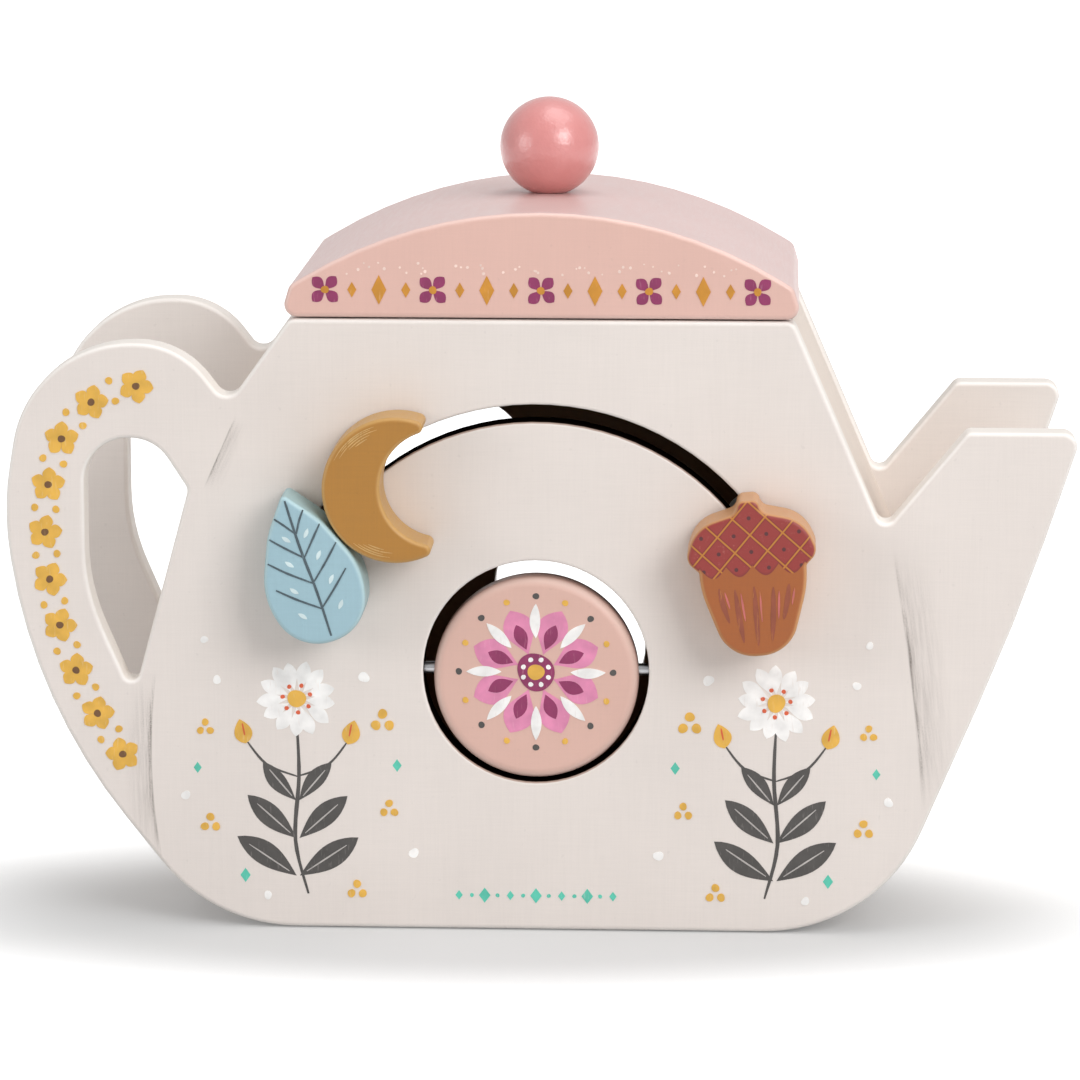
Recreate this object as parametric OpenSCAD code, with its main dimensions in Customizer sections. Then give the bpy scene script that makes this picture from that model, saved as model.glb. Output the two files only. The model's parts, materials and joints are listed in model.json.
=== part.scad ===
// Wooden toy teapot. Two shaped panels stand on a box of boards, a lid lifts off the mouth,
// a disc spins on a steel rod in the round window, and three shapes slide along an arc slot.
// X runs from handle to spout, the front faces -Y, and Z is up from the table.

/* [Panels] */
// Height of the panels at the mouth
panel_h = 151; // [142:1:165]
// Thickness of each panel
panel_t = 9; // [7:0.5:12]
// Clear space between the two panels
inner_gap = 72; // [62:1:85]
// Width of the mouth between the top corners
mouth_w = 121.5; // [114:0.5:128]
// Radius of the top corners
mouth_r = 3; // [1:0.5:5]
// Distance of the foot's left corner from the middle of the pot, before it is rounded
foot_left_x = 80.8; // [77:0.1:84]
// Distance of the foot's right corner from the middle of the pot, before it is rounded
foot_right_x = 82.2; // [79:0.1:86]
// Radius of the foot's corners
foot_r = 42; // [32:1:44]
// Diameter of the round opening in the back panel, and width of the long one
back_hole_d = 39; // [30:1:40]
// Straight run of the long opening's sides
back_run = 15.5; // [8:0.5:20]

/* [Handle] */
// How far the top of the handle lies below the mouth
handle_drop = 6.2; // [1:0.2:9]
// Distance of the crest's front corner from the middle of the pot, before it turns down to the notch
crest_front_x = 87.5; // [86:0.5:89]
// Radius at the front of the handle's crest
crest_r = 22; // [14:0.5:24]
// Distance of the crest's back corner from the middle of the pot, before it is rounded
crest_back_x = 124.1; // [121:0.1:127]
// Radius at the back of the handle's crest
handle_r = 30.7; // [22:0.1:31]
// Reach of the handle's back from the middle of the pot, before it is rounded
handle_reach = 131.2; // [129:0.2:135]
// How far below the handle's top its back reaches furthest
grip_drop = 41.4; // [37:0.2:47]
// Radius of the handle's back
grip_r = 72; // [50:1:74]
// Distance of the corner where the handle's back turns in towards the foot
belly_x = 124.3; // [122:0.1:127]
// How far that corner lies below the handle's top
belly_drop = 89.4; // [85:0.2:93]
// Radius of that turn
belly_r = 136; // [110:1:140]
// Distance of the notch beside the handle from the middle of the pot
notch_x = 76; // [74:0.5:78]
// How far the notch lies below the mouth
notch_drop = 21.2; // [18:0.2:25]
// Radius in the notch
notch_r = 3.5; // [1.5:0.5:4.5]
// Width of the grip behind the finger hole, before its back is rounded
grip_w = 20.1; // [17:0.1:22]
// Height of the wood over the finger hole
crest_h = 23.3; // [20:0.1:27]
// Distance of the hole's foremost corner from the middle of the pot
hole_front_x = 85.8; // [85:0.2:89]
// How far the hole's foremost corner lies below the handle's top
hole_front_drop = 35.8; // [33:0.2:40]
// Distance of the hole's front top corner from the middle of the pot
hole_crest_x = 93.8; // [92:0.2:96]
// Distance of the hole's bottom corner from the middle of the pot
hole_tip_x = 99.8; // [97:0.2:103]
// How far the hole's bottom corner lies below the handle's top
hole_tip_drop = 87.3; // [81:0.1:91]
// How far below the handle's top the back of the hole turns in
hole_turn_drop = 60.8; // [53:0.2:67]
// Radius of the hole's two upper corners
hole_r = 12; // [8:0.5:12.5]
// Radius of the hole's foremost corner
hole_front_r = 3; // [1.5:0.5:5]
// Radius of the turn at the back of the hole
hole_turn_r = 50; // [30:1:55]
// Radius in the hole's bottom corner
hole_tip_r = 2; // [1.5:0.1:3.5]

/* [Spout] */
// Reach of the spout's tip from the middle of the pot
spout_reach = 130.4; // [126:0.2:134]
// How far the spout's lip lies below the mouth
lip_drop = 26.5; // [21:0.5:33]
// Length of the spout's lip
lip_l = 27.6; // [22:0.2:30]
// Radius of the spout's tip
tip_r = 3.5; // [2:0.5:5]
// Radius of the lip's inner corner
lip_r = 2.5; // [1:0.5:4]
// Distance of the valley beside the spout from the middle of the pot
valley_x = 82.8; // [80:0.2:85]
// How far the valley lies below the lip
valley_drop = 24.5; // [19:0.5:30]
// Radius in the valley
valley_r = 2.4; // [1:0.1:4]
// How far the spout's underside bulges out
bulge = 2.7; // [0.5:0.1:4]

/* [Boards] */
// Thickness of the side boards
wall_t = 8; // [6:0.5:10]
// Thickness of the bottom board
base_t = 10; // [8:0.5:14]
// How far the side boards lie inside the panels' edges
edge_inset = 0.8; // [0.4:0.1:2]
// How far the side boards stop below the mouth
wall_drop = 1.5; // [1:0.1:3]
// Distance of the left board's outer face from the middle of the pot
left_wall_x = 81.2; // [80:0.2:82]
// How far the spout's floor stops below the lip
floor_drop = 17; // [12:0.5:22]
// Diameter of the glued dowels
dowel_d = 5; // [4:0.5:6]
// Depth of a dowel in each piece
dowel_bite = 5.5; // [4:0.5:6]

/* [Window] */
// Distance of the window's centre to the left of the middle of the pot
window_x = 1.2; // [0:0.2:3]
// How far the window's centre lies below the mouth
window_drop = 86.3; // [81:0.1:91]
// Diameter of the disc in the window
disc_d = 50; // [40:0.5:60]
// Width of the gap round the disc
window_ring = 2.5; // [2.3:0.1:4]
// Thickness of the disc
disc_t = 9; // [6:0.5:9]
// Radius round the disc's edges
disc_r = 2.5; // [1.5:0.1:3]
// How far the disc's centre hangs below the rod
disc_drop = 1.6; // [0.5:0.1:1.6]
// Diameter of the steel rod
axle_d = 3; // [2:0.1:4]
// Length of rod in the panel at each side of the window
axle_bite = 10; // [6:0.5:12]
// Thickness of the blocks that keep the rod in its groove
keeper_t = 3; // [2:0.5:4]
// Height of those blocks
keeper_h = 12; // [9:0.5:14]

/* [Slot] */
// Distance of the slot's middle line from the window's centre
slot_radius = 63.7; // [60:0.1:66]
// Width of the arc slot
slot_w = 4.2; // [3.8:0.1:5]
// Angle of the slot's left end about the window, from level on the spout's side
slot_left_angle = 151; // [148:0.5:153]
// Angle of the slot's right end about the window, from level on the spout's side
slot_right_angle = 35; // [30:0.5:38]

/* [Sliding shapes] */
// Thickness of the shapes
slider_t = 14; // [11:0.5:18]
// Length of the leaf
leaf_l = 38; // [34:0.5:38.5]
// Width of the leaf
leaf_w = 25; // [22:0.5:25]
// Diameter of the moon
moon_d = 35.4; // [32:0.2:35.4]
// Diameter of the bite that makes it a crescent
moon_bite_d = 28; // [26:0.2:29]
// Distance of the bite's centre from the moon's
moon_bite_x = 10.3; // [9.5:0.1:11]
// Radius of the crescent's horns
horn_r = 1.6; // [1:0.1:2]
// Width of the acorn's cap
acorn_w = 31; // [27:0.5:34]
// Height of the acorn with its stem
acorn_h = 38; // [34:0.5:42]
// Diameter of the screws
screw_d = 3; // [2.6:0.1:3]
// Length of thread in a shape
screw_bite = 9; // [7:0.5:10]
// Diameter of a screw's head
screw_head_d = 6.6; // [5.5:0.1:8]
// Height of a screw's head
screw_head_h = 2.2; // [1.6:0.1:3]
// Diameter of the washers
washer_d = 12; // [9:0.5:14]
// Thickness of the washers
washer_t = 1; // [0.6:0.1:1.5]

/* [Lid] */
// Width of the lid
lid_w = 126; // [120:0.5:134]
// Height of the lid's arch over its underside
lid_h = 25.6; // [22:0.2:32]
// Height of the lid's ends
lid_end_h = 7.6; // [5:0.2:12]
// How far the lid's ends lean in
lid_lean = 2.3; // [0:0.1:5]
// Radius of the lid's long corners
lid_r = 3; // [1:0.5:3.5]
// Thickness of the board that locates the lid in the mouth
plug_t = 6; // [5:0.5:10]
// Diameter of the screws that hold that board
plug_screw_d = 3; // [2.5:0.1:4]
// Length of thread in the lid
plug_screw_bite = 8; // [5:0.5:10]
// Diameter of the ball knob
knob_d = 24.5; // [20:0.5:32]
// Diameter of the flat under the knob
knob_foot_d = 9; // [8:0.5:12]
// Diameter of the dowel in the knob
knob_dowel_d = 6; // [4:0.5:6]
// Depth of that dowel in the knob and in the lid
knob_dowel_bite = 11; // [8:0.5:13]

/* [Hidden] */
// Running gap between a moving piece and what it passes
running_gap = 0.4;
// Gap between a shape's back and the panel
slider_gap = 0.5;
// Gaps beside a washer
washer_gap = 0.3;
// Play round a shaft that turns
shaft_play = 0.06;
// Play round a pin that is fixed
pin_play = 0.04;
// Spare depth behind a pin
pin_slack = 0.5;
// Gap between the locating board and the mouth
plug_clear = 1.2;
// Straight run between the lid's arch and its end corner
lid_end_run = 3;
// Cuts run this far past a face
overrun = 1;
// Angle of one step on a rounded corner
arc_step_angle = 4;
// Share of a side that its two rounded corners may use up
corner_fill_share = 0.97;
// Share of the spout's underside where it bulges most, from the foot
bulge_at_share = 0.62;
// Radius of that bulge as a share of the underside's length
underside_r_share = 4;
// Places of the dowels, as shares along each board
dowel_shares = [0.25, 0.75];
// Places of the locating board's screws, as shares of its size from the middle
plug_screw_shares = [0.36, 0.32];
// Diameter of a countersunk head as a share of its screw
countersink_share = 2;
// Radius of the dome on a screw's head as a share of the head's height
head_round_share = 0.6;
// Angle between the slot's ends and the screws that rest there
slot_end_angle = 0.5;
// Angle along the slot from the leaf's screw to the moon's, which rests on the leaf
moon_step_angle = 17.1;
// Angles at which the shapes lean
leaf_lean_angle = 18.5;
moon_lean_angle = 3.5;
acorn_lean_angle = 4.9;
// Corners of the leaf: across in widths, up in lengths, radius in widths
leaf_shares = [
    [0, 1, 0.05], [-0.27, 0.77, 0.9], [-0.515, 0.4, 0.75], [-0.36, 0, 0.46],
    [0.36, 0, 0.46], [0.515, 0.4, 0.75], [0.27, 0.77, 0.9]
];
// Height of the leaf's screw as a share of its length
leaf_pin_share = 0.595;
// Right-hand corners of the acorn from its foot up: across and radius in widths, up in heights
acorn_shares = [
    [0.24, 0, 0.3], [0.415, 0.444, 1.2], [0.415, 0.56, 0.05], [0.515, 0.64, 0.11],
    [0.42, 0.85, 0.29], [0.1, 0.919, 0.1], [0.078, 1, 0.07]
];
// Height of the acorn's screw as a share of its height
acorn_pin_share = 0.783;
// Places of the round opening and the long one's upper end: across in mouth widths, up in panel heights
back_hole_shares = [[-0.211, 0.668], [0.0305, 0.463]];

$fn = 96;

// Depths of the front panel's faces, the back panel's and the rod's, and the window
depth = inner_gap + 2 * panel_t;
front_y = -depth / 2;
inside_y = -inner_gap / 2;
rear_y = inner_gap / 2;
axle_y = front_y + panel_t / 2;
window_z = panel_h - window_drop;
window = [-window_x, window_z];
window_d = disc_d + 2 * window_ring;

// Plane geometry
function unit(v) = v / norm(v);
function left_of(v) = [-v[1], v[0]];
function right_of(v) = [v[1], -v[0]];
function meet(p, u, q, v) = p + u * cross(q - p, v) / cross(u, v);
function level(p, u, z) = meet(p, u, [0, z], [1, 0]);
function plumb(p, u, x) = meet(p, u, [x, 0], [0, 1]);
function along(p, q, share) = p + (q - p) * share;
function polar(centre, r, angle) = centre + r * [cos(angle), sin(angle)];
function arc(centre, r, from, sweep) =
    let (n = max(1, ceil(abs(sweep) / arc_step_angle)))
    [for (i = [0:n]) polar(centre, r, from + sweep * i / n)];

// A closed outline from corners [across, up, radius], each rounded as far as its sides allow
function ring(list, i) = list[(i + len(list)) % len(list)];
function place(c, i) = [ring(c, i)[0], ring(c, i)[1]];
function side(c, i) = norm(place(c, i + 1) - place(c, i));
function half_angle(c, i) =
    acos(unit(place(c, i - 1) - place(c, i)) * unit(place(c, i + 1) - place(c, i))) / 2;
function reach(c, i) = ring(c, i)[2] / tan(half_angle(c, i));
function fitting(c, i) = min(1,
    corner_fill_share * side(c, i - 1) / (reach(c, i - 1) + reach(c, i)),
    corner_fill_share * side(c, i) / (reach(c, i) + reach(c, i + 1)));
function corner(c, i) =
    let (
        p = place(c, i),
        u = unit(place(c, i - 1) - p),
        v = unit(place(c, i + 1) - p),
        half = half_angle(c, i),
        r = ring(c, i)[2] * fitting(c, i),
        centre = p + unit(u + v) * r / sin(half),
        start = p + u * r / tan(half) - centre,
        turn = sign(cross(v, u)) * (180 - 2 * half)
    )
    arc(centre, r, atan2(start[1], start[0]), turn);
function rounded(c) = [for (i = [0:len(c) - 1]) each corner(c, i)];
function sized(shares, w, h) = [for (s = shares) [s[0] * w, s[1] * h, s[2] * w]];
function mirrored(c) = [for (i = [len(c) - 1:-1:0]) [-c[i][0], c[i][1], c[i][2]]];

// Corners of the panels, which hang from the mouth
handle_top = panel_h - handle_drop;
lip_z = panel_h - lip_drop;
mouth_left = [-mouth_w / 2, panel_h];
mouth_right = [mouth_w / 2, panel_h];
notch = [-notch_x, panel_h - notch_drop];
foot_left = [-foot_left_x, 0];
foot_right = [foot_right_x, 0];
tip = [spout_reach, lip_z];
valley = [valley_x, lip_z - valley_drop];
underside = along(foot_right, tip, bulge_at_share) + [bulge, 0];
underside_r = norm(tip - foot_right) * underside_r_share;
panel_corners = [
    [mouth_right[0], panel_h, mouth_r],
    [mouth_left[0], panel_h, mouth_r],
    [notch[0], notch[1], notch_r],
    [-crest_front_x, handle_top, crest_r],
    [-crest_back_x, handle_top, handle_r],
    [-handle_reach, handle_top - grip_drop, grip_r],
    [-belly_x, handle_top - belly_drop, belly_r],
    [foot_left[0], 0, foot_r],
    [foot_right[0], 0, foot_r],
    [underside[0], underside[1], underside_r],
    [tip[0], tip[1], tip_r],
    [spout_reach - lip_l, lip_z, lip_r],
    [valley[0], valley[1], valley_r]
];
hole_back = grip_w - handle_reach;
hole_top = handle_top - crest_h;
hole_corners = [
    [-hole_front_x, handle_top - hole_front_drop, hole_front_r],
    [-hole_crest_x, hole_top, hole_r],
    [hole_back, hole_top, hole_r],
    [hole_back, handle_top - hole_turn_drop, hole_turn_r],
    [-hole_tip_x, handle_top - hole_tip_drop, hole_tip_r]
];

back_holes = [for (s = back_hole_shares) [s[0] * mouth_w, s[1] * panel_h]];
long_hole = concat(
    arc(back_holes[1], back_hole_d / 2, 0, 180),
    arc(back_holes[1] - [0, back_run], back_hole_d / 2, 180, 180)
);

// Lines that the side boards follow: a point on the panel's edge, the way down and the way in
wall_top = panel_h - wall_drop;
shoulder_way = unit(notch - mouth_left);
shoulder_in = left_of(shoulder_way);
shoulder_outer = mouth_left + shoulder_in * edge_inset;
shoulder_inner = shoulder_outer + shoulder_in * wall_t;
right_way = unit(valley - mouth_right);
right_in = right_of(right_way);
right_outer = mouth_right + right_in * edge_inset;
right_inner = right_outer + right_in * wall_t;
floor_way = unit(tip - foot_right);
floor_in = left_of(floor_way);
floor_outer = foot_right + floor_in * edge_inset;
floor_inner = floor_outer + floor_in * wall_t;
floor_top = lip_z - floor_drop;

// Outlines of the side boards
shoulder_outline = [
    level(shoulder_outer, shoulder_way, wall_top),
    plumb(shoulder_outer, shoulder_way, -left_wall_x),
    plumb(shoulder_inner, shoulder_way, -left_wall_x),
    level(shoulder_inner, shoulder_way, wall_top)
];
left_outline = [
    [-left_wall_x, base_t],
    [wall_t - left_wall_x, base_t],
    plumb(shoulder_inner, shoulder_way, wall_t - left_wall_x),
    plumb(shoulder_inner, shoulder_way, -left_wall_x)
];
right_outline = [
    level(right_outer, right_way, wall_top),
    level(right_inner, right_way, wall_top),
    meet(right_inner, right_way, floor_inner, floor_way),
    meet(right_outer, right_way, floor_inner, floor_way)
];
floor_outline = [
    level(floor_outer, floor_way, base_t),
    level(floor_outer, floor_way, floor_top),
    level(floor_inner, floor_way, floor_top),
    level(floor_inner, floor_way, base_t)
];

// Dowels lie along the middle of each board
function middle_line(a, b, c, d) = [for (s = dowel_shares) along((a + b) / 2, (c + d) / 2, s)];
base_dowels = [for (s = dowel_shares) [along(foot_left, foot_right, s)[0], base_t / 2]];
shoulder_dowels = [along((shoulder_outline[0] + shoulder_outline[3]) / 2,
    (shoulder_outline[1] + shoulder_outline[2]) / 2, dowel_shares[0])];
left_dowels = middle_line(left_outline[0], left_outline[1], left_outline[3], left_outline[2]);
right_dowels = middle_line(right_outline[0], right_outline[1], right_outline[3], right_outline[2]);
floor_dowels = middle_line(floor_outline[0], floor_outline[3], floor_outline[1], floor_outline[2]);
all_dowels = concat(base_dowels, shoulder_dowels, left_dowels, right_dowels, floor_dowels);

// The lid stands a running gap over the mouth, and its arch ends where the end corners begin
lid_z = panel_h + running_gap;
lid_half = lid_w / 2 - lid_lean;
lid_rise = lid_h - lid_end_h;
lid_arch_r = (pow(lid_half, 2) + pow(lid_rise, 2)) / (2 * lid_rise);
arch_half = asin((lid_half - lid_end_run) / lid_arch_r);
arch_end_z = lid_h - lid_arch_r * (1 - cos(arch_half)) - lid_end_run * tan(arch_half);
arch_peak = lid_h + lid_arch_r * (1 / cos(arch_half) - 1);
lid_side = [[lid_w / 2, 0, lid_r], [lid_half, arch_end_z, lid_r]];
lid_corners = concat(lid_side, [[0, arch_peak, lid_arch_r]], mirrored(lid_side));
lid_top = lid_z + lid_h;
mouth_clear = min(-shoulder_outline[3][0], right_outline[1][0]);
plug_half_w = mouth_clear - plug_clear;
plug_half_d = inner_gap / 2 - plug_clear;
plug_z = lid_z - plug_t;

// Screws, washers and shapes along the slot
screw_start = front_y - slider_gap - screw_bite;
washer_y = inside_y + washer_gap;
head_y = washer_y + washer_t + washer_gap;
leaf_angle = slot_left_angle - slot_end_angle;
leaf_place = polar(window, slot_radius, leaf_angle);
moon_place = polar(window, slot_radius, leaf_angle - moon_step_angle);
acorn_place = polar(window, slot_radius, slot_right_angle + slot_end_angle);

// Outline of the crescent about its screw, with horns rounded between the two circles
moon_r = moon_d / 2;
bite_r = moon_bite_d / 2;
moon_pin = (moon_r + bite_r - moon_bite_x) / 2;
horn_angle = acos((pow(moon_r - horn_r, 2) + pow(moon_bite_x, 2) - pow(bite_r + horn_r, 2))
    / (2 * (moon_r - horn_r) * moon_bite_x));
horn = polar([0, 0], moon_r - horn_r, horn_angle);
bite_angle = atan2(horn[1], horn[0] - moon_bite_x);
moon_outline = concat(
    arc([0, 0], moon_r, horn_angle, 360 - 2 * horn_angle),
    arc([horn[0], -horn[1]], horn_r, -horn_angle, 180 - bite_angle + horn_angle),
    arc([moon_bite_x, 0], bite_r, 360 - bite_angle, 2 * bite_angle - 360),
    arc(horn, horn_r, bite_angle - 180, 180 - bite_angle + horn_angle)
);
leaf_outline = rounded(sized(leaf_shares, leaf_w, leaf_l));
acorn_half = sized(acorn_shares, acorn_w, acorn_h);
acorn_outline = rounded(concat(acorn_half, mirrored(acorn_half)));
slot_outline = concat(
    arc(window, slot_radius + slot_w / 2, slot_right_angle, slot_left_angle - slot_right_angle),
    arc(polar(window, slot_radius, slot_left_angle), slot_w / 2, slot_left_angle, 180),
    arc(window, slot_radius - slot_w / 2, slot_left_angle, slot_right_angle - slot_left_angle),
    arc(polar(window, slot_radius, slot_right_angle), slot_w / 2, slot_right_angle + 180, 180)
);

// A flat shape stood upright, from depth y over thickness t
module upright(y, t) {
    translate([0, y + t, 0])
        rotate([90, 0, 0])
            linear_extrude(t)
                children();
}

// A round bar along Y from depth y
module bar_y(at, y, l, d) {
    translate([at[0], y, at[1]])
        rotate([-90, 0, 0])
            cylinder(h = l, d = d);
}

// A round bar along X, centred on the window
module bar_x(l, d) {
    translate([-window_x - l / 2, axle_y, window_z])
        rotate([0, 90, 0])
            cylinder(h = l, d = d);
}

// The teapot's outline with its finger hole
module panel_shape() {
    difference() {
        polygon(rounded(panel_corners));
        polygon(rounded(hole_corners));
    }
}

// Blind holes for the dowels on both sides of the joint at depth y
module dowel_holes(places, y) {
    for (p = places)
        bar_y(p, y - dowel_bite - pin_slack, 2 * (dowel_bite + pin_slack), dowel_d + 2 * pin_play);
}

// A board between the panels, with its dowel holes
module board(places) {
    difference() {
        upright(inside_y, inner_gap)
            children();
        dowel_holes(places, inside_y);
        dowel_holes(places, rear_y);
    }
}

module dowels(y) {
    for (p = all_dowels)
        bar_y(p, y - dowel_bite, 2 * dowel_bite, dowel_d);
}

// The groove that takes the rod's ends, open to the panel's back
module axle_groove() {
    groove_l = window_d + 2 * (axle_bite + pin_slack);
    groove_w = axle_d + 2 * pin_play;
    bar_x(groove_l, groove_w);
    translate([-window_x - groove_l / 2, axle_y, window_z - groove_w / 2])
        cube([groove_l, panel_t / 2 + overrun, groove_w]);
}

module front_panel() {
    color("linen")
    difference() {
        upright(front_y, panel_t)
            panel_shape();
        bar_y(window, front_y - overrun, panel_t + 2 * overrun, window_d);
        upright(front_y - overrun, panel_t + 2 * overrun)
            polygon(slot_outline);
        axle_groove();
        dowel_holes(all_dowels, inside_y);
    }
}

module back_panel() {
    color("linen")
    difference() {
        upright(rear_y, panel_t)
            panel_shape();
        bar_y(back_holes[0], rear_y - overrun, panel_t + 2 * overrun, back_hole_d);
        upright(rear_y - overrun, panel_t + 2 * overrun)
            polygon(long_hole);
        dowel_holes(all_dowels, rear_y);
    }
}

module base_board() {
    color("antiquewhite")
    board(base_dowels)
        intersection() {
            polygon(rounded(panel_corners));
            translate([-handle_reach, 0])
                square([handle_reach + spout_reach, base_t]);
        }
}

module left_wall() {
    color("antiquewhite")
    board(left_dowels)
        polygon(left_outline);
}

module left_shoulder() {
    color("antiquewhite")
    board(shoulder_dowels)
        polygon(shoulder_outline);
}

module right_wall() {
    color("antiquewhite")
    board(right_dowels)
        polygon(right_outline);
}

module spout_floor() {
    color("antiquewhite")
    board(floor_dowels)
        intersection() {
            polygon(rounded(panel_corners));
            polygon(floor_outline);
        }
}

module front_dowels() {
    color("burlywood")
    dowels(inside_y);
}

module back_dowels() {
    color("burlywood")
    dowels(rear_y);
}

// The disc hangs a little low on its rod, so that it comes to rest upright
module window_disc() {
    disc_half = [
        [disc_d / 2, -disc_t / 2, disc_r],
        [disc_d / 2, disc_t / 2, disc_r]
    ];
    color("peachpuff")
    difference() {
        translate([-window_x, axle_y, window_z - disc_drop])
            rotate([-90, 0, 0])
                rotate_extrude()
                    intersection() {
                        polygon(rounded(concat(disc_half, mirrored(disc_half))));
                        translate([0, -disc_t])
                            square([disc_d, 2 * disc_t]);
                    }
        bar_x(window_d, axle_d + 2 * shaft_play);
    }
}

module disc_axle() {
    color("silver")
    bar_x(window_d + 2 * axle_bite, axle_d);
}

// Each keeper has a tongue that fills the groove behind the rod
module axle_keepers() {
    tongue_y = axle_y + axle_d / 2 + pin_play;
    color("tan")
    for (s = [-1, 1])
        translate([-window_x + s * (window_d / 2 + pin_slack + axle_bite / 2), 0, window_z]) {
            translate([-axle_bite / 2, inside_y, -keeper_h / 2])
                cube([axle_bite, keeper_t, keeper_h]);
            translate([-axle_bite / 2, tongue_y, -axle_d / 2])
                cube([axle_bite, inside_y - tongue_y, axle_d]);
        }
}

// One sliding shape: its outline about its screw, at its place on the slot and its lean
module shape_block(at, lean) {
    difference() {
        translate([at[0], 0, at[1]])
            rotate([0, -lean, 0])
                upright(front_y - slider_gap - slider_t, slider_t)
                    children();
        bar_y(at, screw_start - pin_slack, screw_bite + pin_slack + overrun, screw_d + 2 * pin_play);
    }
}

// A round-headed screw from the shape, through the slot and the washer, to its head
module shape_screw(at) {
    head_round = screw_head_h * head_round_share;
    head_side = [
        [screw_head_d / 2, 0],
        [screw_head_d / 2, screw_head_h - head_round],
        [screw_head_d / 2 - head_round, screw_head_h]
    ];
    color("silver")
    union() {
        bar_y(at, screw_start, head_y - screw_start, screw_d);
        translate([at[0], head_y, at[1]])
            rotate([-90, 0, 0])
                rotate_extrude()
                    polygon(concat([[0, 0]], head_side, [[0, screw_head_h]]));
    }
}

module shape_washer(at) {
    color("gainsboro")
    difference() {
        bar_y(at, washer_y, washer_t, washer_d);
        bar_y(at, washer_y - overrun, washer_t + 2 * overrun, screw_d + 2 * shaft_play);
    }
}

module leaf_block() {
    color("lightblue")
    shape_block(leaf_place, leaf_lean_angle)
        translate([0, -leaf_pin_share * leaf_l])
            polygon(leaf_outline);
}

module leaf_screw() {
    shape_screw(leaf_place);
}

module leaf_washer() {
    shape_washer(leaf_place);
}

module moon_block() {
    color("goldenrod")
    shape_block(moon_place, moon_lean_angle)
        translate([moon_pin, 0])
            polygon(moon_outline);
}

module moon_screw() {
    shape_screw(moon_place);
}

module moon_washer() {
    shape_washer(moon_place);
}

module acorn_block() {
    color("peru")
    shape_block(acorn_place, acorn_lean_angle)
        translate([0, -acorn_pin_share * acorn_h])
            polygon(acorn_outline);
}

module acorn_screw() {
    shape_screw(acorn_place);
}

module acorn_washer() {
    shape_washer(acorn_place);
}

// Places of the locating board's screws, as children at their heights
module at_plug_screws() {
    screw_x = 2 * plug_half_w * plug_screw_shares[0];
    screw_y = 2 * plug_half_d * plug_screw_shares[1];
    for (x = [-screw_x, screw_x], y = [-screw_y, screw_y])
        translate([x, y, plug_z])
            children();
}

// A countersunk screw, or with play the hole that it goes in
module plug_screw(play, slack) {
    shank_d = plug_screw_d + 2 * play;
    head_d = plug_screw_d * countersink_share + 2 * play;
    cylinder(h = plug_t + plug_screw_bite + slack, d = shank_d);
    cylinder(h = (head_d - shank_d) / 2, d1 = head_d, d2 = shank_d);
}

// An arched block with leaning ends
module lid() {
    color("lightpink")
    difference() {
        translate([0, 0, lid_z])
            upright(front_y, depth)
                polygon(rounded(lid_corners));
        at_plug_screws()
            plug_screw(pin_play, pin_slack);
        translate([0, 0, lid_top - knob_dowel_bite - pin_slack])
            cylinder(h = knob_dowel_bite + pin_slack + overrun, d = knob_dowel_d + 2 * pin_play);
    }
}

module lid_locator() {
    color("tan")
    difference() {
        translate([-plug_half_w, -plug_half_d, plug_z])
            cube([2 * plug_half_w, 2 * plug_half_d, plug_t]);
        at_plug_screws()
            plug_screw(pin_play, pin_slack);
    }
}

module locator_screws() {
    color("silver")
    at_plug_screws()
        plug_screw(0, 0);
}

// A ball with a flat foot, on a dowel
module lid_knob() {
    foot_drop = sqrt(pow(knob_d, 2) - pow(knob_foot_d, 2)) / 2;
    color("palevioletred")
    difference() {
        translate([0, 0, lid_top + foot_drop])
            sphere(d = knob_d);
        translate([-knob_d / 2, -knob_d / 2, lid_top - knob_d])
            cube(knob_d);
        translate([0, 0, lid_top - overrun])
            cylinder(h = knob_dowel_bite + pin_slack + overrun, d = knob_dowel_d + 2 * pin_play);
    }
}

module knob_dowel() {
    color("burlywood")
    translate([0, 0, lid_top - knob_dowel_bite])
        cylinder(h = 2 * knob_dowel_bite, d = knob_dowel_d);
}

front_panel();
back_panel();
base_board();
left_wall();
left_shoulder();
right_wall();
spout_floor();
front_dowels();
back_dowels();
window_disc();
disc_axle();
axle_keepers();
leaf_block();
leaf_screw();
leaf_washer();
moon_block();
moon_screw();
moon_washer();
acorn_block();
acorn_screw();
acorn_washer();
lid();
lid_locator();
locator_screws();
lid_knob();
knob_dowel();
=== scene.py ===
import json
import math
import random

import bmesh
import bpy
from mathutils import Matrix, Vector
from mathutils.geometry import tessellate_polygon


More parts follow.
